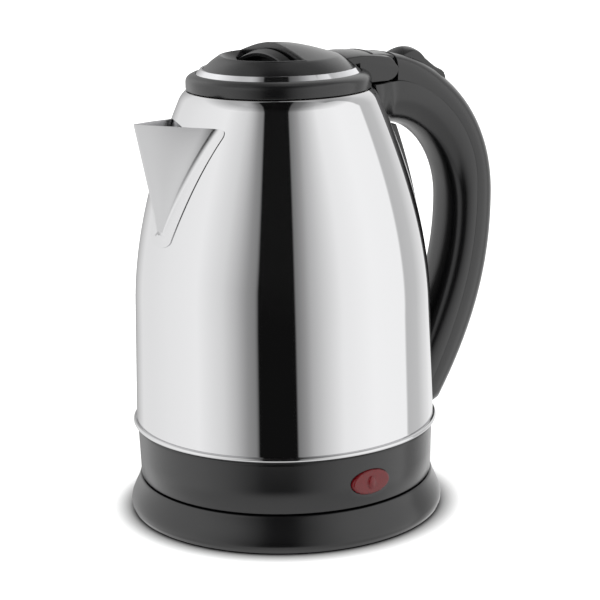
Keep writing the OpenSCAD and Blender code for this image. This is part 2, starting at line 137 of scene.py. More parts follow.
def tidy(bm: Mesh) -> Mesh:
    """Merge doubled vertices and turn every face outwards.

    Args:
        bm: The mesh, which is changed.

    Returns:
        The same mesh.
    """
    bmesh.ops.remove_doubles(bm, verts=bm.verts, dist=WELD)
    bmesh.ops.recalc_face_normals(bm, faces=bm.faces)
    return bm


def turned(outline: list[Point], steps: int = 192, closed: bool = True) -> Mesh:
    """Turn an outline of radius and height, in millimetres, about the kettle's axis.

    Args:
        outline: The outline to turn.
        steps: Number of steps in the full turn.
        closed: Whether the outline is a loop.

    Returns:
        The turned mesh.
    """
    bm = bmesh.new()
    verts = chain(bm, [Vector((r * MM, 0, z * MM)) for r, z in outline], closed)
    bmesh.ops.spin(
        bm,
        geom=verts + list(bm.edges),
        cent=(0, 0, 0),
        axis=(0, 0, 1),
        angle=2 * math.pi,
        steps=steps,
        use_merge=True,
    )
    return tidy(bm)


def loft(rings: list[list[Vector]], closed: bool = True, caps: bool = True) -> Mesh:
    """Join sections of equal length into a skin.

    Args:
        rings: The sections' points, in metres.
        closed: Whether each section is a loop.
        caps: Whether the first and last sections are filled.

    Returns:
        The skin.
    """
    bm = bmesh.new()
    verts = chain(bm, rings[0], closed)
    edges = list(bm.edges)
    first = list(edges)
    for ring in rings[1:]:
        made = bmesh.ops.extrude_edge_only(bm, edges=edges)["geom"]
        new = {g for g in made if isinstance(g, bmesh.types.BMVert)}
        verts = [next(e.other_vert(v) for e in v.link_edges if e.other_vert(v) in new) for v in verts]
        edges = [g for g in made if isinstance(g, bmesh.types.BMEdge)]
        edges = [e for e in edges if e.verts[0] in new and e.verts[1] in new]
        for vert, point in zip(verts, ring):
            vert.co = point
    if caps:
        bmesh.ops.contextual_create(bm, geom=first)
        bmesh.ops.contextual_create(bm, geom=edges)
    return tidy(bm)


def plate(outline: list[Point], y0: float, y1: float) -> Mesh:
    """Make a plate from an outline in x and z, between two values of y, in millimetres.

    Args:
        outline: The plate's outline.
        y0: One face of the plate.
        y1: The other face.

    Returns:
        The plate.
    """
    bm = bmesh.new()
    face = bm.faces.new([bm.verts.new((x * MM, y0 * MM, z * MM)) for x, z in outline])
    made = bmesh.ops.extrude_face_region(bm, geom=[face])["geom"]
    side = [g for g in made if isinstance(g, bmesh.types.BMVert)]
    bmesh.ops.translate(bm, verts=side, vec=(0, (y1 - y0) * MM, 0))
    return tidy(bm)


def crowned(outline: list[Point], half: float, drop: float, low: float, edge: float) -> Mesh:
    """Make a plate whose top is crowned across and rounded at both sides, in millimetres.

    Args:
        outline: The plate's outline in x and z, in its middle plane.
        half: Half of its width along y.
        drop: How far the top falls from the middle to the sides.
        low: The height below which the outline keeps its shape.
        edge: Radius of the rounded top edges.

    Returns:
        The plate.
    """
    rows = [(half * share, 0.0) for share in (0.0, 0.25, 0.5, 0.7)]
    for degrees in (0, 25, 45, 65, 90):
        a = math.radians(degrees)
        rows.append((half - edge + edge * math.sin(a), edge * (1 - math.cos(a))))
    rows = [(y, sink + drop * (y / half) ** 2) for y, sink in rows]
    rows = [(-y, fall) for y, fall in rows[:0:-1]] + rows
    rings = []
    for y, fall in rows:
        sinks = [fall * min(max((z - low) / CROWN_RISE, 0), 1) for _, z in outline]
        rings.append([Vector((x, y, z - sink)) * MM for (x, z), sink in zip(outline, sinks)])
    return loft(rings)


def soften(bm: Mesh, edges: list[bmesh.types.BMEdge], radius: float, segments: int = 4) -> None:
    """Round edges with a radius in millimetres."""
    bmesh.ops.bevel(
        bm, geom=edges, offset=radius * MM, segments=segments, profile=0.5, affect="EDGES", material=-1
    )


def rod(place: Vector, axis: str, radius: float, length: float, steps: int = 64) -> Mesh:
    """Make a round rod centred on place, in millimetres, along axis X, Y or Z.

    Args:
        place: The rod's middle.
        axis: X, Y or Z.
        radius: The rod's radius.
        length: The rod's length.
        steps: Number of sides.

    Returns:
        The rod.
    """
    bm = bmesh.new()
    turn = {"X": Matrix.Rotation(math.pi / 2, 4, "Y"), "Y": Matrix.Rotation(math.pi / 2, 4, "X"),
            "Z": Matrix.Identity(4)}[axis]
    bmesh.ops.create_cone(
        bm,
        cap_ends=True,
        segments=steps,
        radius1=radius * MM,
        radius2=radius * MM,
        depth=length * MM,
        matrix=Matrix.Translation(place * MM) @ turn,
    )
    return bm


def block(lo: Corner, hi: Corner) -> Mesh:
    """Make a box between two corners in millimetres.

    Args:
        lo: The lowest corner.
        hi: The highest corner.

    Returns:
        The box.
    """
    bm = bmesh.new()
    size = [(b - a) * MM for a, b in zip(lo, hi)]
    middle = Vector([(a + b) / 2 * MM for a, b in zip(lo, hi)])
    bmesh.ops.create_cube(bm, size=1, matrix=Matrix.Translation(middle) @ Matrix.Diagonal((*size, 1)))
    return bm


def merged(*parts: Mesh) -> Mesh:
    """Put several meshes side by side in the first one.

    Args:
        parts: The meshes; all but the first are used up.

    Returns:
        The first mesh, which now holds them all.
    """
    for part in parts[1:]:
        mesh = bpy.data.meshes.new("part")
        part.to_mesh(mesh)
        part.free()
        parts[0].from_mesh(mesh)
        bpy.data.meshes.remove(mesh)
    return parts[0]


def combine(base: Mesh, join: Join, tool: Mesh) -> Mesh:
    """Return base with tool cut away or kept in common.

    Args:
        base: The mesh to keep, which is used up.
        join: What is done to it.
        tool: The other mesh, which is used up.

    Returns:
        The new mesh.
    """
    objects = []
    for name, bm in (("base", base), ("tool", tool)):
        mesh = bpy.data.meshes.new(name)
        bm.to_mesh(mesh)
        bm.free()
        made = bpy.data.objects.new(name, mesh)
        bpy.context.scene.collection.objects.link(made)
        objects.append(made)
    modifier = objects[0].modifiers.new("join", "BOOLEAN")
    modifier.operation = join.value
    modifier.solver = "EXACT"
    modifier.object = objects[1]
    bpy.context.view_layer.update()
    evaluated = objects[0].evaluated_get(bpy.context.evaluated_depsgraph_get())
    result = bmesh.new()
    result.from_mesh(evaluated.to_mesh())
    evaluated.to_mesh_clear()
    for made in objects:
        mesh = made.data
        bpy.data.objects.remove(made)
        bpy.data.meshes.remove(mesh)
    return result


def piece(
    name: str, bm: Mesh, body: str, finish: "Finish", replaces: tuple[str, ...] = ()
) -> bpy.types.Object:
    """Turn a mesh into a finished piece that rides on a body.

    Args:
        name: The piece's name.
        bm: Its mesh, which is used up.
        body: The CAD body that it moves with.
        finish: What it is made of.
        replaces: The CAD nodes it stands for.

    Returns:
        The new object.
    """
    for face in bm.faces:
        face.smooth = True
    for edge in bm.edges:
        edge.smooth = edge.calc_face_angle(0.0) < SMOOTH_ANGLE
    mesh = bpy.data.meshes.new(name)
    bm.to_mesh(mesh)
    bm.free()
    made = bpy.data.objects.new(name, mesh)
    bpy.context.scene.collection.objects.link(made)
    mesh.materials.append(finish.material())
    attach(made, body)
    if replaces:
        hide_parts(*replaces)
    LOG.info("%s: %d faces", name, len(mesh.polygons))
    return made


# ---- finishes ----------------------------------------------------------------------------------


def linear(code: str) -> tuple[float, float, float, float]:
    """Return the linear colour of an sRGB hex code."""
    parts = [int(code[i:i + 2], 16) / 255 for i in (0, 2, 4)]
    return (*[c / 12.92 if c <= 0.04045 else ((c + 0.055) / 1.055) ** 2.4 for c in parts], 1.0)


def add(tree: Tree, kind: str, inputs: dict | None = None, **settings) -> bpy.types.Node:
    """Add a shader node.

    Args:
        tree: The node tree.
        kind: The node's type.
        inputs: Numbers or sockets for its inputs, by name or number.
        settings: The node's own settings.

    Returns:
        The new node.
    """
    made = tree.nodes.new(kind)
    for name, value in settings.items():
        setattr(made, name, value)
    for key, value in (inputs or {}).items():
        if isinstance(value, Socket):
            tree.links.new(value, made.inputs[key])
        else:
            made.inputs[key].default_value = value
    return made


@dataclass(frozen=True)
class Finish:
    """What a surface is made of: an opaque one with a fine grain."""

    slot: str
    colour: str
    roughness: float
    metallic: float = 0.0
    ior: float = 1.5
    grain: float = 0.0        # height of the grain in metres
    grain_size: float = 2500.0
    edge: float = 0.0         # radius of the rounded edges in metres
    wear: float = 0.03        # how much the roughness varies
    bow: float = 0.0          # how far the shading normals lean down, for the look only
    variant: str = "finish"   # ending of the material's name

    def material(self) -> bpy.types.Material:
        """Return this finish's material, made once.

        Returns:
            The material.
        """
        name = f"{self.slot}_{self.variant}"
        made = bpy.data.materials.get(name)
        if made is None:
            made = bpy.data.materials.new(name)
            made.use_nodes = True
            made.node_tree.nodes.clear()
            shader = self.surface(made.node_tree)
            add(made.node_tree, "ShaderNodeOutputMaterial", {"Surface": shader})
        return made

    def surface(self, tree: Tree) -> Socket:
        """Build the shader and return its output.

        Args:
            tree: The node tree.

        Returns:
            The shader's output.
        """
        place = add(tree, "ShaderNodeTexCoord").outputs["Object"]
        inputs = {
            "Base Color": linear(self.colour),
            "Metallic": self.metallic,
            "Roughness": self.roughness_socket(tree, place),
            "Normal": self.normal_socket(tree, place),
        }
        if not self.metallic:
            inputs["IOR"] = self.ior
        inputs.update(self.extras())
        return add(tree, "ShaderNodeBsdfPrincipled", inputs).outputs["BSDF"]

    def extras(self) -> dict:
        """Return further shader inputs."""
        return {}

    def roughness_socket(self, tree: Tree, place: Socket) -> Socket:
        """Return a roughness that varies softly over the piece.

        Args:
            tree: The node tree.
            place: The place on the piece, in Object coordinates.

        Returns:
            The roughness.
        """
        clouds = add(tree, "ShaderNodeTexNoise", {"Vector": place, "Scale": 60.0, "Detail": 3.0})
        spread = add(
            tree,
            "ShaderNodeMapRange",
            {
                "Value": clouds.outputs["Fac"],
                "To Min": self.roughness * (1 - self.wear),
                "To Max": self.roughness * (1 + self.wear),
            },
        )
        return spread.outputs["Result"]

    def normal_socket(self, tree: Tree, place: Socket) -> Socket:
        """Return the surface's normal, with its rounded edges and its grain.

        Args:
            tree: The node tree.
            place: The place on the piece, in Object coordinates.

        Returns:
            The normal.
        """
        if self.edge:
            base = add(tree, "ShaderNodeBevel", {"Radius": self.edge}, samples=6).outputs["Normal"]
        else:
            base = add(tree, "ShaderNodeNewGeometry").outputs["Normal"]
        if self.bow:
            down = add(tree, "ShaderNodeVectorMath", {0: base, 1: (0, 0, -self.bow)}, operation="ADD")
            base = add(tree, "ShaderNodeVectorMath", {0: down.outputs[0]}, operation="NORMALIZE").outputs[0]
        if not self.grain:
            return base
        return self.grain_socket(tree, place, base)

    def grain_socket(self, tree: Tree, place: Socket, base: Socket) -> Socket:
        """Return the normal with the surface's fine pattern in it."""
        inputs = {"Height": self.pattern(tree, place), "Distance": self.grain, "Strength": 1.0, "Normal": base}
        return add(tree, "ShaderNodeBump", inputs).outputs["Normal"]

    def pattern(self, tree: Tree, place: Socket) -> Socket:
        """Return the height of the mould's fine grain."""
        inputs = {"Vector": place, "Scale": self.grain_size, "Detail": 2.0}
        return add(tree, "ShaderNodeTexNoise", inputs).outputs["Fac"]


@dataclass(frozen=True)
class Brushed(Finish):
    """Metal with fine turning lines about the kettle's axis."""

    def pattern(self, tree: Tree, place: Socket) -> Socket:
        """Return the height of fine lines that run round the axis.

        Args:
            tree: The node tree.
            place: The place on the piece, in Object coordinates.

        Returns:
            The height.
        """
        parts = add(tree, "ShaderNodeSeparateXYZ", {"Vector": place}).outputs
        square = [add(tree, "ShaderNodeMath", {0: parts[i], 1: 2.0}, operation="POWER") for i in "XY"]
        total = add(tree, "ShaderNodeMath", {0: square[0].outputs[0], 1: square[1].outputs[0]})
        radius = add(tree, "ShaderNodeMath", {0: total.outputs[0]}, operation="SQRT")
        where = add(tree, "ShaderNodeCombineXYZ", {"X": radius.outputs[0], "Y": parts["Z"]})
        inputs = {"Vector": where.outputs[0], "Scale": self.grain_size, "Detail": 2.0}
        return add(tree, "ShaderNodeTexNoise", inputs).outputs["Fac"]


@dataclass(frozen=True)
class Clear(Finish):
    """Clear plastic or glass."""

    transmission: float = 1.0

    def extras(self) -> dict:
        """Return how much light passes through."""
        return {"Transmission Weight": self.transmission}


# Satin moulded plastic of the skirt, base, handle and lid
BLACK = Finish("black_plastic", "080809", 0.22, ior=1.58, grain=4e-6, grain_size=3200.0, edge=0.0003)
# Plain moulded plastic on hidden faces
DARK = Finish("dark_plastic", "161616", 0.5, grain=2e-5, edge=0.0002)
# Mirror polished stainless steel sheet
POLISHED = Finish("polished_steel", "cfcfd0", 0.045, metallic=1.0, wear=0.1)
# The same steel on the folded spout, with softer reflections
FOLDED = Finish("polished_steel", "cfcfd0", 0.22, metallic=1.0, wear=0.05, bow=0.15, variant="folded")
# Turned or drawn stainless steel inside the jug
PLAIN = Brushed("plain_steel", "c2c2c4", 0.24, metallic=1.0, grain=4e-6, grain_size=4000.0)
# Chrome plating on the lid's ring
CHROME = Finish("chrome", "e2e2e4", 0.06, metallic=1.0, edge=0.0002, wear=0.1)
# Cast aluminium of the heating element and its plate
ALUMINIUM = Finish("aluminium", "c4c5c8", 0.38, metallic=1.0, grain=1.5e-5, grain_size=1500.0)
# Plain brass contacts
BRASS = Brushed("contact_brass", "c79a52", 0.28, metallic=1.0, grain=4e-6)
# Clear red polycarbonate of the lamp's lens
LENS = Clear("lens", "760a13", 0.12, ior=1.49, edge=0.0004, transmission=0.55)
# Thin glass of the neon lamp
LAMP_GLASS = Clear("lamp_glass", "f4d2b0", 0.05, ior=1.5, transmission=0.9)
# Heat resistant thermoset moulding
IVORY = Finish("ivory_plastic", "d9d2bc", 0.5, grain=1.5e-5)
# Moulded rubber of the feet
RUBBER = Finish("rubber", "232323", 0.75, grain=3e-5)
# Silicone of the gasket and steam tube
SILICONE = Finish("silicone", "c9c8c2", 0.45, ior=1.41, grain=1e-5)
# Insulated wire
WIRE = Finish("wire", "9c2a1e", 0.4, grain=8e-6)
FINISHES = {f.slot: f for f in (BLACK, DARK, POLISHED, PLAIN, CHROME, ALUMINIUM, BRASS, LENS, LAMP_GLASS,
                                IVORY, RUBBER, SILICONE, WIRE)}


# ---- the kettle's own sizes --------------------------------------------------------------------


@dataclass(frozen=True)
class JugShape:
    """The steel jug's outside, which several parts fit against. Sizes in millimetres."""

    radius: float = 73.5
    foot: float = 44.4
    sheet: float = 0.8
    mouth: float = 41.5

    def wall(self, steps: int = 60) -> list[Point]:
        """Return the outline of the jug's wall, from its lower edge to the shoulder."""
        straight = [(self.radius, self.foot), (self.radius, self.foot + 2)]
        straight += [(self.radius - 0.35 * i, 46.4 + 14.65 * i) for i in (1, 2, 3)]
        return straight + bezier([(72.1, 105), (71.4, 133), (63.7, 168), (46.5, 206.3)], steps)

    def at_height(self, z: float) -> float:
        """Return the jug's outer radius at a height.

        Args:
            z: The height in millimetres.

        Returns:
            The radius in millimetres.
        """
        line = self.wall()
        for (r0, z0), (r1, z1) in zip(line, line[1:]):
            if z0 <= z <= z1 and z1 > z0:
                return r0 + (r1 - r0) * (z - z0) / (z1 - z0)
        return line[-1][0]

    def space(self, clearance: float) -> Mesh:
        """Return everything inside the kettle's outside, grown by a clearance.

        Args:
            clearance: How far it is grown, in millimetres.

        Returns:
            The solid.
        """
        low = [(0, 17), (72.1, 17), (73, 42.6), (75.1, 43.9), (75.1, 46.8)]
        high = [p for p in self.wall() if p[1] > 47]
        return turned([low[0], *moved(low[1:] + high, clearance), (0, 206.3)], steps=160)


JUG = JugShape()


# ---- power base --------------------------------------------------------------------------------


@dataclass(frozen=True)
class PowerBase:
    """The flared base that stays on the table."""

    radius: float = 77.4
    rim: float = 17.4
    tower: float = 14.4
    inlet: float = 5.3

    def build(self) -> None:
        """Make the base's shell."""
        flare = bezier([(self.radius, 4.8), (76.9, 8.8), (74.2, 11.8), (72.9, self.rim - 0.7)], 24)
        lip = bezier([(72.9, self.rim - 0.7), (72.7, self.rim - 0.2), (72.5, self.rim), (72.2, self.rim)], 4)
        outline = [(75.9, 0.6), (76.4, 0.7), (77.1, 2.2), (77.3, 2.6), *flare, *lip[1:]]
        outline += [(69.5, self.rim), (66, 14.6), (20, 14.6), (18.6, 16.2), (self.tower, 16.2)]
        outline += [(self.tower, 12.2), (64, 12.2), (67.5, 14.8), (70, 14.8), (74, 8), (75, 3.4), (75, 0.6)]
        hole = rod(Vector((76, 0, self.height_of_inlet())), "X", self.inlet, 12)
        shell = combine(turned(outline, 256), Join.CUT, hole)
        piece("base_shell_fine", shell, "base", BLACK, ("base_shell",))

    @staticmethod
    def height_of_inlet() -> float:
        """Return the cord inlet's height in millimetres."""
        lo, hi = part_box("cord_inlet")
        return (lo.z + hi.z) / 2 / MM


# ---- jug ---------------------------------------------------------------------------------------


@dataclass(frozen=True)
class Jug:
    """The steel jug with its bead ring, black skirt and lamp lens."""

    rows: int = 6
    hole: float = 1.6
    steam_height: float = 198.0
    skirt: float = 72.1
    lens_wide: float = 21.0
    lens_high: float = 12.0
    lens_front: float = 73.7

    def build(self) -> None:
        """Make the jug's parts."""
        piece("jug_wall", self.wall(), "kettle", POLISHED, ("steel_body",))
        piece("bead_ring", self.ring(), "kettle", POLISHED, ("body_ring",))
        piece("skirt_fine", self.skirt_shell(), "kettle", BLACK, ("skirt",))
        piece("lens_fine", self.lens(), "kettle", LENS, ("lamp_lens",))

    def wall(self) -> Mesh:
        """Return the drawn steel wall with its strainer and steam holes.

        Returns:
            The mesh.
        """
        outside = [p for p in JUG.wall() if p[1] < 203]
        shoulder = bezier([(JUG.at_height(203.2), 203.2), (46.9, 205), (46, 206.1), (44.5, 207.35)], 16)
        neck = [(JUG.mouth, 207.4), (JUG.mouth, 206.6), (43.8, 206.6), (45.1, 205.6), (46.3, 204)]
        shell = turned(outside + shoulder + neck + moved(outside, -JUG.sheet)[::-1], 256)
        holes = [rod(Vector((50, 0, self.steam_height)), "X", 3.6, 20)]
        for row in range(self.rows):
            for k in range(-row, row + 1, 2):
                holes.append(rod(Vector((-58, 2.7 * k, 156 + 6 * row)), "X", self.hole, 44, 24))
        return combine(shell, Join.CUT, merged(*holes))

    @staticmethod
    def ring() -> Mesh:
        """Return the bead ring between the jug and the skirt."""
        lo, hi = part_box("body_ring")
        low, high, wide = lo.z / MM, hi.z / MM, hi.x / MM
        front = arc((wide - 1.05, (low + high) / 2), 1.05, -90, 90, 12)
        return turned([(73.6, low), *front, (73.6, high)], 256)

    def skirt_shell(self) -> Mesh:
        """Return the black skirt with the lens's opening.

        Returns:
            The mesh.
        """
        outline = [(69.7, 18.4), (71.4, 18.05), (71.8, 18.15), (self.skirt, 18.6), (72.5, 30), (72.95, 41.9)]
        outline += [(73, 42.4), (72.9, 42.7), (72.2, 43.9), (71.9, 44.1), (69.9, 44.1), (69.7, 42)]
        opening = self.oval(0.15, 60, 80)
        return combine(turned(outline, 256), Join.CUT, opening)

    def oval(self, grow: float, near: float, far: float) -> Mesh:
        """Return an oval bar along -Y between two distances from the axis.

        Args:
            grow: How far it is wider than the lens all round.
            near: Its start, from the axis.
            far: Its end, from the axis.

        Returns:
            The bar.
        """
        lo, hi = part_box("lamp_lens")
        bm = rod(Vector((0, 0, 0)), "Y", 1, far - near, 96)
        size = Vector((self.lens_wide / 2 + grow, 1, self.lens_high / 2 + grow))
        bmesh.ops.scale(bm, verts=bm.verts, vec=size)
        place = Vector((0, -(near + far) / 2 * MM, (lo.z + hi.z) / 2))
        bmesh.ops.translate(bm, verts=bm.verts, vec=place)
        return bm

    def lens(self) -> Mesh:
        """Return the lens with its rounded rim and the small lug moulded in its middle.

        Returns:
            The mesh.
        """
        bm = self.oval(0, 67, self.lens_front)
        front = -self.lens_front * MM
        soften(bm, [e for e in bm.edges if all(abs(v.co.y - front) < WELD for v in e.verts)], 1.1, 6)
        lug = bmesh.new()
        bmesh.ops.create_uvsphere(lug, u_segments=32, v_segments=16, radius=1)
        bmesh.ops.scale(lug, verts=lug.verts, vec=(2.4 * MM, 1.1 * MM, 3.1 * MM))
        lo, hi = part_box("lamp_lens")
        bmesh.ops.translate(lug, verts=lug.verts, vec=(0, front, (lo.z + hi.z) / 2))
        flange = self.oval(1.2, 66.9, 68.5)
        return merged(bm, lug, flange)


# ---- spout -------------------------------------------------------------------------------------


@dataclass(frozen=True)
class Spout:
    """The folded steel spout with the flange that is welded on the jug. Sizes in millimetres."""

    tip: Point = (-80.5, 197.9)
    foot: Point = (-68.3, 141.5)
    half: float = 20.4
    top: float = 194.9
    sheet: float = 0.9
    start: float = 0.09
    skin: float = 0.45
    levels: int = 72

    def build(self) -> None:
        """Make the spout."""
        shares = [self.start + (1 - self.start) * i / self.levels for i in range(self.levels + 1)]
        rings = [self.toe(math.radians(a)) for a in (88, 75, 60, 45, 30, 15)]
        bm = loft(rings + [self.section(t) for t in shares], False, False)
        bmesh.ops.recalc_face_normals(bm, faces=bm.faces)
        bmesh.ops.solidify(bm, geom=list(bm.faces), thickness=self.sheet * MM)
        piece("spout_sheet", tidy(bm), "kettle", FOLDED, ("spout",))

    def toe(self, angle: float) -> list[Vector]:
        """Return one section of the flange's rounded lower end, at an angle round its curve.

        Args:
            angle: The angle in radians.

        Returns:
            The section's points, in metres.
        """
        wide = (self.half * self.start + 0.4 + blend(7.2, 5.2, self.start)) * math.cos(angle)
        edge = self.foot[1] + (self.top - self.foot[1]) * self.start - (1 - self.start) * 3.0
        low = edge - 4.6 * math.sin(angle)
        count = len(self.section(self.start)) - 1
        points = []
        for i in range(count + 1):
            share = 1 - 2 * i / count
            height = low + (1 - abs(share)) * 3 * (1 - math.sin(angle))
            points.append(self.on_jug(wide * share, height, self.skin) * MM)
        return points

    def section(self, t: float) -> list[Vector]:
        """Return one section of the sheet, from the flange's edge on one side to the other.

        Args:
            t: The place along the spout, from 0 at its foot to 1 at its top.

        Returns:
            The section's points, in metres.
        """
        half = self.half * t + 0.4
        z_root = self.foot[1] + (self.top - self.foot[1]) * t
        keel = (self.foot[0] + (self.tip[0] - self.foot[0]) * t, self.foot[1] + (self.tip[1] - self.foot[1]) * t)
        side = self.half_section(half, z_root, keel, t)
        other = [Vector((p.x, -p.y, p.z)) for p in side[:-1]]
        return [p * MM for p in side + other[::-1]]

    def half_section(self, half: float, z_root: float, keel: Point, t: float) -> list[Vector]:
        """Return the section's points on the +Y side, from the flange to the keel.

        Args:
            half: Half the width where the wall meets the jug.
            z_root: The height there.
            keel: The keel's x and z.
            t: The place along the spout, from 0 to 1.

        Returns:
            The points in millimetres.
        """
        corner = max(0.0, (t - 0.93) / 0.07)
        flange_edge = half + blend(7.2, 5.2, t) - 3.4 * (1 - math.sqrt(1 - min(corner, 1.0) ** 2))
        z_edge = z_root - (1 - t) * 3.0
        points = []
        for i in range(6):
            y = flange_edge + (half + 1.4 - flange_edge) * i / 5
            z = z_edge + (z_root - z_edge) * i / 5
            points.append(self.on_jug(y, z, self.skin))
        root = self.on_jug(half, z_root, self.skin)
        apex = Vector((keel[0], 0, keel[1]))
        wall = apex - root
        inner = root + wall * min(0.12, 2.0 / max(wall.length, 0.1))
        start = points[-1]
        for i in range(1, 7):
            u = i / 6
            points.append(start * (1 - u) ** 2 + root * (2 * u * (1 - u)) + inner * u * u)
        near = apex - wall * min(0.3, 2.6 / max(wall.length, 0.1))
        bulge = Vector((-0.25, 0.5, 0)).normalized() * 0.7 * math.sin(math.pi * min(t, 0.5))
        for i in range(1, 9):
            u = i / 8
            points.append(inner + (near - inner) * u + bulge * math.sin(math.pi * u))
        mirror = Vector((near.x, -near.y, near.z))
        for i in range(1, 6):
            u = i / 10
            points.append(near * (1 - u) ** 2 + apex * (2 * u * (1 - u)) + mirror * u * u)
        return points

    @staticmethod
    def on_jug(y: float, z: float, lift: float) -> Vector:
        """Return the point on the jug's spout side at y and z, lifted off it."""
        radius = JUG.at_height(z) + lift
        return Vector((-math.sqrt(max(radius * radius - y * y, 0)), y, z))


# ---- handle ------------------------------------------------------------------------------------


@dataclass(frozen=True)
class Station:
    """One section of a handle shell: its seam and crest points, its half width and its roundness."""

    seam: Point
    crest: Point
    half: float
    power: float = 0.8


@dataclass(frozen=True)
class Handle:
    """The loop handle: two moulded shells that meet at a seam, and the strap on the steel."""

    half: float = 15.0
    wall: float = 2.5
    steps: int = 44
    around: int = 26
    outer_top: tuple[Point, ...] = ((60, 220.6), (98, 214), (125.4, 184), (125.4, 143))
    outer_low: tuple[Point, ...] = ((125.4, 143), (125.4, 110), (117, 76), (90, 38))
    seam_top: tuple[Point, ...] = ((60, 207.3), (83, 204.5), (110.5, 182), (110.5, 150))
    seam_low: tuple[Point, ...] = ((110.5, 150), (110.5, 118), (104, 90), (81, 50))
    inner_top: tuple[Point, ...] = ((58, 185.5), (79, 186.5), (98.9, 166.5), (98.9, 140))
    inner_low: tuple[Point, ...] = ((98.9, 140), (98.9, 118), (93, 98), (79, 72))
    joint: float = 0.85

    def build(self) -> None:
        """Make the handle's shells and strap."""
        piece("grip_inner", self.inner(), "kettle", BLACK, ("handle_inner_shell",))
        piece("grip_outer", self.outer(), "kettle", BLACK, ("handle_outer_shell",))
        piece("grip_strap", self.strap(), "kettle", BLACK, ("handle_strap",))

    def shell(self, stations: list[Station], side: int) -> Mesh:
        """Return a half shell along its stations; side is -1 for the grip's outer half.

        Args:
            stations: The shell's sections.
            side: -1 for the grip's outer half and 1 for its inner half.

        Returns:
            The shell.
        """
        rings = []
        for st in stations:
            seam = Vector((st.seam[0], 0, st.seam[1]))
            rise = Vector((st.crest[0], 0, st.crest[1])) - seam
            up = rise.normalized()
            ring = [seam + up * h + Vector((0, side * y, 0)) for h, y in self.profile(rise.length, st)]
            rings.append([p * MM for p in ring])
        return loft(rings)

    def profile(self, height: float, st: Station) -> list[Point]:
        """Return the closed outline of a half shell's section, with its rims rounded at the seam.

        Args:
            height: The distance from seam to crest.
            st: The station.

        Returns:
            The outline, as heights and sideways distances.
        """
        angles = [math.pi * i / self.around for i in range(self.around + 1)]
        outer = [self.soft(a, height, st.half, st.power) for a in angles]
        inner = [self.soft(a, height - self.wall, st.half - self.wall, st.power) for a in angles]
        outer[0] = (0.0, st.half - 0.45)
        outer[-1] = (0.0, -st.half + 0.45)
        return outer + inner[::-1]

    @staticmethod
    def soft(angle: float, height: float, half: float, power: float) -> Point:
        """Return a point on a half superellipse."""
        c, s = math.cos(angle), max(math.sin(angle), 0.0)
        return (height * s**power, half * math.copysign(abs(c) ** power, c))

    def stretch(
        self, seam: Sequence[Point], crest: Sequence[Point], widths: Point, first: int, power: float = 0.8
    ) -> list[Station]:
        """Return the stations between a seam curve and a crest curve.

        Args:
            seam: The seam's Bezier curve.
            crest: The crest's Bezier curve.
            widths: Half widths at the start and past the middle.
            first: The first station's number.
            power: Roundness at the start, which eases to the grip's own.

        Returns:
            The stations.
        """
        made = []
        for i in range(first, self.steps + 1):
            t = i / self.steps
            half = blend(*widths, min(1, 2.0 * t))
            made.append(Station(at(seam, t), at(crest, t), half, blend(power, 0.8, min(1, 2.5 * t))))
        return made

    def inner(self) -> Mesh:
        """Return the grip side's shell, cut to the jug, the strap and the screws.

        Returns:
            The mesh.
        """
        root_seam = [(42, 207.2), (48, 207.25), (54, 207.25), (60, 207.3)]
        root_crest = [(46, 180), (51, 181.5), (54, 184.6), (58, 185.5)]
        root = [Station(at(root_seam, i / 12), at(root_crest, i / 12), blend(21.5, 16.4, i / 12))
                for i in range(12)]
        stations = root + self.stretch(self.seam_top, self.inner_top, (16.4, self.half), 0)
        stations += self.stretch(self.seam_low, self.inner_low, (self.half, self.half), 1)
        stations += self.ending(stations[-1], Station((72, 42), (71.5, 56), self.half))
        bm = combine(self.shell(stations, 1), Join.CUT, JUG.space(0.3))
        bm = combine(bm, Join.CUT, self.strap_room(0.2, 0.2))
        return combine(bm, Join.CUT, self.screw_seat())

    @staticmethod
    def ending(last: Station, end: Station) -> list[Station]:
        """Return stations from the last one to the handle's foot.

        Args:
            last: The last station so far.
            end: The station at the handle's foot.

        Returns:
            The stations between, and the end.
        """
        made = []
        for i in range(1, 7):
            t = i / 6
            seam = tuple(a + (b - a) * t for a, b in zip(last.seam, end.seam))
            crest = tuple(a + (b - a) * t for a, b in zip(last.crest, end.crest))
            made.append(Station(seam, crest, last.half + (end.half - last.half) * t))
        return made

    def screw_seat(self) -> Mesh:
        """Return the bore for the screw that holds the two shells together.

        Returns:
            The mesh.
        """
        a, b = at(self.inner_low, self.joint), at(self.seam_low, self.joint)
        start, end = Vector((a[0], 0, a[1])), Vector((b[0], 0, b[1]))
        bore = rod(Vector((0, 0, 0)), "Z", 2.7, 11, 40)
        turn = (end - start).to_track_quat("Z", "Y").to_matrix().to_4x4()
        bmesh.ops.transform(bore, verts=bore.verts, matrix=Matrix.Translation(start * MM) @ turn)
        return bore

    def outer(self) -> Mesh:
        """Return the outer shell with its nose between the lid's ears and the switch's slot.

        Returns:
            The mesh.
        """
        stations = self.stretch(self.seam_top, self.outer_top, (self.half, self.half), 0, 0.45)
        stations += self.stretch(self.seam_low, self.outer_low, (self.half, self.half), 1)
        stations += self.ending(stations[-1], Station((72, 41.8), (74, 31), self.half))
        shell = combine(self.shell(stations, -1), Join.CUT, JUG.space(0.3))
        x, z = Lid.hinge()
        for side in (-1, 1):
            swept = [*arc((x, z), 6.1, 150, 362, 48), (59.9, 214.9), (59.5, 216.5), (57.9, 222.4)]
            swept += [(57.3, 226.5), (50, 232), (47, 232)]
            shell = combine(shell, Join.CUT, plate(swept, *sorted((side * 12.1, side * 21.9))))
        slot = block((63.2, -Switch.half - 0.4, 196), (95.4, Switch.half + 0.4, 226))
        return merged(combine(shell, Join.CUT, slot), self.nose())

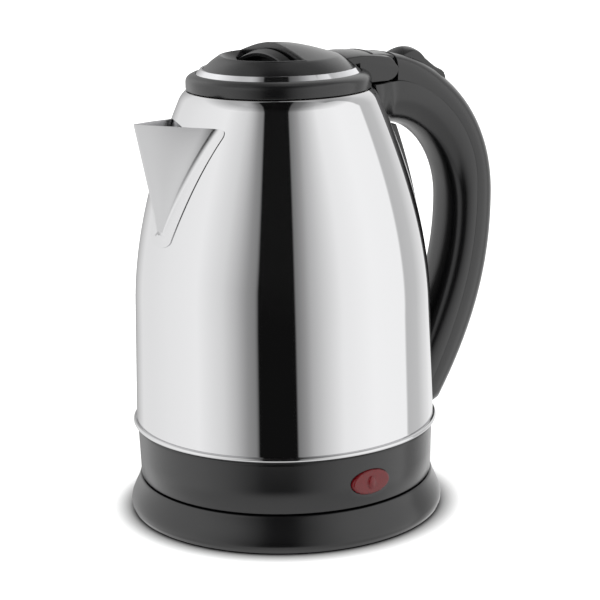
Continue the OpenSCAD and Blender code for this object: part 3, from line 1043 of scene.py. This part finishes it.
    @staticmethod
    def nose() -> Mesh:
        """Return the shell's solid nose that holds the hinge pin.

        Returns:
            The mesh.
        """
        x, z = Lid.hinge()
        crest = [(47.9, 222.1), (52.5, 221.5), (57.1, 220.9), (62.8, 220.0), (62.8, 207.5)]
        nose = crowned([*arc((x, z), 10.9, 217, 129, 32), *crest], 12, 1.2, 212, 1.0)
        nose = combine(nose, Join.CUT, JUG.space(0.35))
        return combine(nose, Join.CUT, rod(Vector((x, 0, z)), "Y", 1.5, 40, 32))

    def strap_room(self, near: float, grow: float) -> Mesh:
        """Return the strap's shape, standing off the jug by near and grown by a clearance.

        Args:
            near: The gap to the steel.
            grow: The clearance all round.

        Returns:
            The strap's solid.
        """
        line = JUG.wall(90)
        skin = moved(line, 5.6 + grow) + moved(line, near)[::-1]
        half = self.half + grow
        return combine(turned(skin, 256), Join.KEEP, block((40, -half, 62 - grow), (100, half, 186 + grow)))

    def strap(self) -> Mesh:
        """Return the strap that lies on the steel between the handle's two roots."""
        return self.strap_room(0.3, 0.0)


@dataclass(frozen=True)
class Switch:
    """The rocker on top of the handle that turns the power on."""

    half: float = 7.6

    def build(self) -> None:
        """Make the rocker and its pin."""
        raised = bezier([(66, 219), (70.5, 221), (77, 224.8), (82.5, 217.4)], 24)
        slope = bezier([(83, 217), (86.5, 214.2), (90, 211.6), (93.2, 210)], 14)
        outline = [(63.6, 213.8), (63.6, 219.2), *raised, *slope, (94, 209), (94.6, 206.6), (94.9, 204.6)]
        outline += [(90, 203.6), (84, 202.8), (78, 204.4)]
        bm = crowned(outline, self.half, 1.8, 206, 1.2)
        piece("rocker_fine", bm, "switch", BLACK, ("switch_rocker",))
        lo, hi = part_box("switch_pin")
        pin = rod((lo + hi) / 2 / MM, "Y", (hi.z - lo.z) / 2 / MM, 24.8, 32)
        piece("pivot_fine", pin, "kettle", PLAIN, ("switch_pin",))


# ---- lid ---------------------------------------------------------------------------------------


@dataclass(frozen=True)
class Lid:
    """The lid: collar, chrome ring, domed cap with the finger pocket, and its steel cover."""

    collar: float = 44.5
    well: float = 27.5
    hood: float = -3.8
    ear_in: float = 12.4
    ear_out: float = 15.8

    @staticmethod
    def hinge() -> Point:
        """Return the hinge's x and z in millimetres, from the record's joint."""
        joint = next(j for j in frame["joints"] if j["name"] == "lid_hinge")
        return (joint["pos_m"][0] / MM, joint["pos_m"][2] / MM)

    def build(self) -> None:
        """Make the lid's parts."""
        piece("lid_collar", self.frame_part(), "lid", BLACK, ("lid_frame",))
        piece("lid_ring", self.ring(), "lid", CHROME, ("lid_trim_ring",))
        piece("lid_dome", self.cap(), "lid", BLACK, ("lid_cap",))
        piece("lid_plug", self.cover(), "lid", PLAIN, ("lid_cover",))

    def frame_part(self) -> Mesh:
        """Return the collar with the rear hump and the two hinge ears.

        Returns:
            The mesh.
        """
        r = self.collar
        side = bezier([(r, 211.5), (r, 213.6), (43, 214.8), (39.8, 215.5)], 20)
        outline = [(36.5, 209.2), (43, 209.2), (43.3, 207.9), (44, 207.8), (44.35, 208.1), (r, 208.8), *side]
        outline += [(39.8, 214.6), (36, 214.6), (36, 216.6), (33.5, 216.6), (33.5, 211.8), (36.5, 211.8)]
        x, z = self.hinge()
        notch = [*arc((x, z), 11.3, 115, 245, 60), (49.2, 198), (68, 198), (68, 232), (49.2, 232)]
        collar = combine(turned(outline, 224), Join.CUT, plate(notch, -self.ear_in, self.ear_in))
        top = [(58.4, 217.2), (56.8, 219.6), (54.6, 221.0), (50.2, 221.7), (44.5, 222.4), (38, 222.9)]
        hump = [(26, 212), (42, 212), (42, 207.9), (53.4, 207.9), *arc((x, z), 5.6, -82, 25, 20), *top]
        upper = crowned([*hump, (31, 222.6), (26, 221.8)], self.ear_out, 1.9, 212, 1.0)
        room = [(0, 190), (43, 190), (43, 209.3), (39.85, 209.4), (39.85, 217.75)]
        room += [*moved(self.dome(0.15), 0.15), (0, 229.5)]
        upper = combine(upper, Join.CUT, turned(room, 224))
        return merged(collar, combine(upper, Join.CUT, plate(notch, -self.ear_in, self.ear_in)))

    @staticmethod
    def ring() -> Mesh:
        """Return the chrome ring round the dome."""
        band = [(39.7, 214.7), (39.4, 215.25), (39.35, 215.31), (37.36, 217.53), (37.3, 217.6)]
        return turned([(36.3, 214.7), *band, (36.3, 217.6)], 256)

    @staticmethod
    def dome(lift: float = 0.0) -> list[Point]:
        """Return the dome's outline from its rim to the top, lifted by some millimetres."""
        low = bezier([(36.1, 217.3), (34.4, 219), (31.5, 221.6), (29, 223)], 14)
        high = bezier([(29, 223), (19.5, 226), (9, 229.3), (0, 229.3)], 30)
        return [(r, z + lift) for r, z in low + high[1:]]

    def cap(self) -> Mesh:
        """Return the dome with its pocket, the hood's raised edge and the grip bar.

        Returns:
            The mesh.
        """
        floor = [(0, 217.9), (19, 217.9), (22, 218.4), (24.6, 220), (26.6, 222.2), (self.well, 223.6)]
        floor += [(self.well, 240), (0, 240)]
        well = combine(turned(floor, 160), Join.KEEP, block((-40, -40, 200), (self.hood, 40, 250)))
        bm = combine(turned([(0, 216.8), *self.dome()], 224), Join.CUT, well)
        under = [(0, 218), (24.4, 218), (25.4, 219), *[p for p in self.dome(-2.5) if p[0] < 25.4]]
        under = combine(turned(under, 160), Join.KEEP, block((-9, -40, 200), (3, 40, 250)))
        return merged(combine(bm, Join.CUT, under), *self.rims(), self.bar())

    def rims(self) -> list[Mesh]:
        """Return the fine raised edges along the hood and round the pocket.

        Returns:
            The meshes.
        """
        skin = [(0, 220), (31, 220), *[p for p in self.dome(0.3) if p[0] < 31]]
        x = self.hood
        hood = combine(turned(skin, 160), Join.KEEP, block((x + 0.3, -28.3, 200), (x + 1.3, 28.3, 250)))
        band = [(27.9, 222), (28.7, 222), (28.7, 223.3), (28.4, 223.45), (28, 223.6), (27.9, 223.6)]
        ring = combine(turned(band, 160), Join.KEEP, block((-40, -40, 200), (x + 0.8, 40, 250)))
        return [hood, ring]

    @staticmethod
    def bar() -> Mesh:
        """Return the arched bar that the fingers hold.

        Returns:
            The mesh.
        """
        front, rear, rise = -9.6, -5.0, 1.3
        bow, thick, end, crest = 47.0, 1.6, 26.4, 225.3
        small = bow - thick
        across = [end * (i / 20 - 1) for i in range(41)]
        outer = [(y, crest - bow + math.sqrt(bow * bow - y * y)) for y in across]
        inner = [(y, crest - bow + math.sqrt(small * small - y * y)) for y in (y * 0.96 for y in across)]
        lifts = [(front, -0.5), (front + 0.35, -0.1), (front + 0.9, 0.1), (rear - 0.4, rise)]
        rings = []
        for x, up in [*lifts, (rear, rise - 0.3)]:
            top = [Vector((x, y, z + up)) * MM for y, z in outer]
            low = [Vector((x, y, z + max(up, 0.0) * 0.5 - 0.5)) * MM for y, z in inner[::-1]]
            rings.append(top + low)
        return loft(rings)

    @staticmethod
    def cover() -> Mesh:
        """Return the steel cup under the lid.

        Returns:
            The mesh.
        """
        lo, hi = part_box("lid_cover")
        r, low, high = hi.x / MM, lo.z / MM, hi.z / MM
        corner = arc((r - 2.6, low + 2.6), 2.6, -90, 0, 10)
        outline = [(0, low), *corner, (r, high), (32.6, high), (32.6, high - 1.2), (r - 0.8, high - 1.2)]
        outline += [(r - 0.8, low + 3), (r - 2.6, low + 0.8), (0, low + 0.8)]
        return turned(outline, 192)


# ---- studio ------------------------------------------------------------------------------------


@dataclass(frozen=True)
class Studio:
    """A plain pale floor, and a white studio whose panels show in the polished steel."""

    # The camera: focal length in millimetres, place in metres and turns in radians
    lens: float = 113.12
    place: Corner = (-0.4890, -0.7530, 0.3287)
    turn: float = math.radians(-33) - 0.0094
    tilt: float = math.pi / 2 - 0.2464
    roll: float = -0.0168
    # The steel's share of the light, the ceiling's brightness and that of the light on plain surfaces
    steel: float = 0.62
    overhead: float = 0.5
    soft: float = 1.7
    # The pale table that only reflections show
    board: str = "cecece"
    # Upward parts of a direction between which the ceiling dims, and the table takes over
    ceiling: Point = (0.62, 0.85)
    table: Point = (-0.47, -0.52)
    # The way the panels face, in degrees, and how much they narrow upwards on one side
    facing: float = 123.0
    narrowing: float = 0.45
    # Sideways parts of a direction between which the upright strips turn into plain bearings
    sideways: Point = (0.3, 0.6)
    # The floor: radius in metres, grey, and how far and how strongly a painted contact shadow, made by an ambient
    # occlusion node, darkens its colour near the kettle
    floor_radius: float = 6.0
    floor_grey: float = 0.97
    painted_shadow_reach: float = 0.01
    painted_shadow_depth: float = 2.3
    # Brightness of the studio round the kettle: degrees from the front, and an sRGB grey
    panels: tuple[tuple[float, int], ...] = (
        (-180, 135), (-165, 150), (-152, 185), (-140, 212), (-100, 225), (-69, 231), (-47, 207),
        (-37, 180), (-27, 138), (-20, 120), (-19, 15), (8.8, 15), (9.5, 112), (16, 142), (21, 170),
        (31, 198), (46, 228), (73, 238), (107, 236), (109, 180), (125, 185), (137, 204), (152, 215),
        (170, 205), (180, 190),
    )

    def build(self) -> None:
        """Make the camera, the world and the floor."""
        self.camera()
        self.world()
        self.floor()
        bpy.context.scene.view_settings.view_transform = "Standard"

    def camera(self) -> None:
        """Make the scene's camera."""
        data = bpy.data.cameras.new("camera")
        data.lens = self.lens
        data.sensor_width = 36
        data.clip_start = 0.05
        data.clip_end = 20
        made = bpy.data.objects.new("camera", data)
        made.matrix_world = (
            Matrix.Translation(self.place)
            @ Matrix.Rotation(self.turn, 4, "Z")
            @ Matrix.Rotation(self.tilt, 4, "X")
            @ Matrix.Rotation(self.roll, 4, "Z")
        )
        bpy.context.scene.collection.objects.link(made)
        bpy.context.scene.camera = made

    def world(self) -> None:
        """Make the studio: plain white to the camera, panels to the steel, soft white to the rest."""
        world = bpy.data.worlds.new("studio")
        bpy.context.scene.world = world
        world.use_nodes = True
        tree = world.node_tree
        tree.nodes.clear()
        place = add(tree, "ShaderNodeTexCoord").outputs["Generated"]
        facing = (0, 0, math.radians(self.facing))
        turn = add(tree, "ShaderNodeMapping", {"Vector": place, "Rotation": facing})
        parts = add(tree, "ShaderNodeSeparateXYZ", {"Vector": turn.outputs[0]})
        shown = self.reflected(tree, parts)
        soft = add(tree, "ShaderNodeBackground", {"Color": WHITE, "Strength": self.soft})
        plain = add(tree, "ShaderNodeBackground", {"Color": WHITE, "Strength": 1.0})
        path = add(tree, "ShaderNodeLightPath")
        choice = {0: path.outputs["Is Glossy Ray"], 1: soft.outputs[0], 2: shown}
        shiny = add(tree, "ShaderNodeMixShader", choice)
        choice = {0: path.outputs["Is Camera Ray"], 1: shiny.outputs[0], 2: plain.outputs[0]}
        seen = add(tree, "ShaderNodeMixShader", choice)
        add(tree, "ShaderNodeOutputWorld", {"Surface": seen.outputs[0]})

    def reflected(self, tree: Tree, parts: bpy.types.Node) -> Socket:
        """Return what shiny surfaces see: the panels, the ceiling and the table.

        Args:
            tree: The world's node tree.
            parts: The node that splits a direction into X, Y and Z.

        Returns:
            The shader's output.
        """
        colour = self.tones(tree, self.bearing(tree, parts))
        height = parts.outputs["Z"]
        start, end = self.ceiling
        full, dim = 1 / self.steel, self.overhead / self.steel
        fall = {"Value": height, "From Min": start, "From Max": end, "To Min": full, "To Max": dim}
        power = add(tree, "ShaderNodeMapRange", fall)
        panels = add(tree, "ShaderNodeBackground", {"Color": colour, "Strength": power.outputs[0]})
        board = add(tree, "ShaderNodeBackground", {"Color": linear(self.board), "Strength": full})
        start, end = self.table
        below = add(tree, "ShaderNodeMapRange", {"Value": height, "From Min": start, "From Max": end})
        choice = {0: below.outputs[0], 1: panels.outputs[0], 2: board.outputs[0]}
        return add(tree, "ShaderNodeMixShader", choice).outputs[0]

    def bearing(self, tree: Tree, parts: bpy.types.Node) -> Socket:
        """Return the bearing, from 0 to 1, by which a direction finds its panel.

        Args:
            tree: The world's node tree.
            parts: The node that splits a direction into X, Y and Z.

        Returns:
            The bearing.
        """
        x, y, z = (parts.outputs[axis] for axis in "XYZ")
        high = add(tree, "ShaderNodeMath", {0: z, 1: 0.0}, operation="MAXIMUM")
        left = add(tree, "ShaderNodeMath", {0: y, 1: 0.0}, operation="LESS_THAN")
        taper = add(tree, "ShaderNodeMath", {0: high.outputs[0], 1: self.narrowing}, operation="MULTIPLY")
        growth = {0: taper.outputs[0], 1: left.outputs[0], 2: 1.0}
        factor = add(tree, "ShaderNodeMath", growth, operation="MULTIPLY_ADD").outputs[0]
        lateral = add(tree, "ShaderNodeMath", {0: y, 1: factor}, operation="MULTIPLY").outputs[0]
        square = add(tree, "ShaderNodeMath", {0: lateral, 1: lateral}, operation="MULTIPLY").outputs[0]
        rest = add(tree, "ShaderNodeMath", {0: 1.0, 1: square}, operation="SUBTRACT", use_clamp=True)
        deep = add(tree, "ShaderNodeMath", {0: rest.outputs[0]}, operation="SQRT").outputs[0]
        side = add(tree, "ShaderNodeMath", {0: x}, operation="SIGN").outputs[0]
        ahead = add(tree, "ShaderNodeMath", {0: deep, 1: side}, operation="MULTIPLY").outputs[0]
        wide = add(tree, "ShaderNodeMath", {0: lateral}, operation="ABSOLUTE").outputs[0]
        near, far = self.sideways
        share = add(tree, "ShaderNodeMapRange", {"Value": wide, "From Min": near, "From Max": far})
        across = add(tree, "ShaderNodeMix", {0: share.outputs[0], 2: ahead, 3: x}).outputs[0]
        level = add(tree, "ShaderNodeCombineXYZ", {"X": across, "Y": lateral}).outputs[0]
        radial = add(tree, "ShaderNodeTexGradient", {"Vector": level}, gradient_type="RADIAL")
        return radial.outputs["Fac"]

    def tones(self, tree: Tree, bearing: Socket) -> Socket:
        """Return the panels' colour at a bearing.

        Args:
            tree: The world's node tree.
            bearing: The bearing, from 0 to 1.

        Returns:
            The colour.
        """
        ramp = add(tree, "ShaderNodeValToRGB", {"Fac": bearing})
        spots = ramp.color_ramp.elements
        while len(spots) > 1:
            spots.remove(spots[-1])
        for i, (degrees, grey) in enumerate(self.panels):
            share = degrees / 360 + 0.5
            spot = spots[0] if i == 0 else spots.new(share)
            spot.position = share
            spot.color = linear(f"{grey:02x}" * 3)
        return ramp.outputs["Color"]

    def floor(self) -> None:
        """Make the pale floor under the kettle, with a contact shadow painted into its colour by an ambient
        occlusion node.
        """
        bm = bmesh.new()
        bmesh.ops.create_circle(bm, cap_ends=True, segments=64, radius=self.floor_radius)
        mesh = bpy.data.meshes.new("floor")
        bm.to_mesh(mesh)
        bm.free()
        made = bpy.data.objects.new("floor", mesh)
        bpy.context.scene.collection.objects.link(made)
        made.visible_glossy = False
        material = bpy.data.materials.new("white_board")
        material.use_nodes = True
        tree = material.node_tree
        tree.nodes.clear()
        grey = (*[self.floor_grey] * 3, 1)
        # Painted shade: ambient occlusion darkens the floor's colour near the kettle as a painted contact shadow,
        # and the gamma deepens it
        near = add(tree, "ShaderNodeAmbientOcclusion", {"Color": grey, "Distance": self.painted_shadow_reach})
        inputs = {"Color": near.outputs["Color"], "Gamma": self.painted_shadow_depth}
        painted_shadow = add(tree, "ShaderNodeGamma", inputs)
        shader = add(tree, "ShaderNodeBsdfDiffuse", {"Color": painted_shadow.outputs[0]})
        add(tree, "ShaderNodeOutputMaterial", {"Surface": shader.outputs[0]})
        mesh.materials.append(material)


# ---- the rest ----------------------------------------------------------------------------------


def dress() -> None:
    """Give every CAD node that is still shown the finish of its slot in the record."""
    slots = {part["node"]: part["material_slot"] for part in frame["record"]["subparts"]}
    for name, node in frame["nodes"].items():
        finish = FINISHES[slots[name]]
        node.data.materials.clear()
        node.data.materials.append(finish.material())


def main() -> None:
    """Build the kettle and its studio."""
    logging.basicConfig(level=logging.INFO, format="%(name)s %(message)s")
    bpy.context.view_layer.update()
    dress()
    PowerBase().build()
    Jug().build()
    Spout().build()
    Handle().build()
    Switch().build()
    Lid().build()
    Studio().build()


if __name__ == "__main__":
    main()
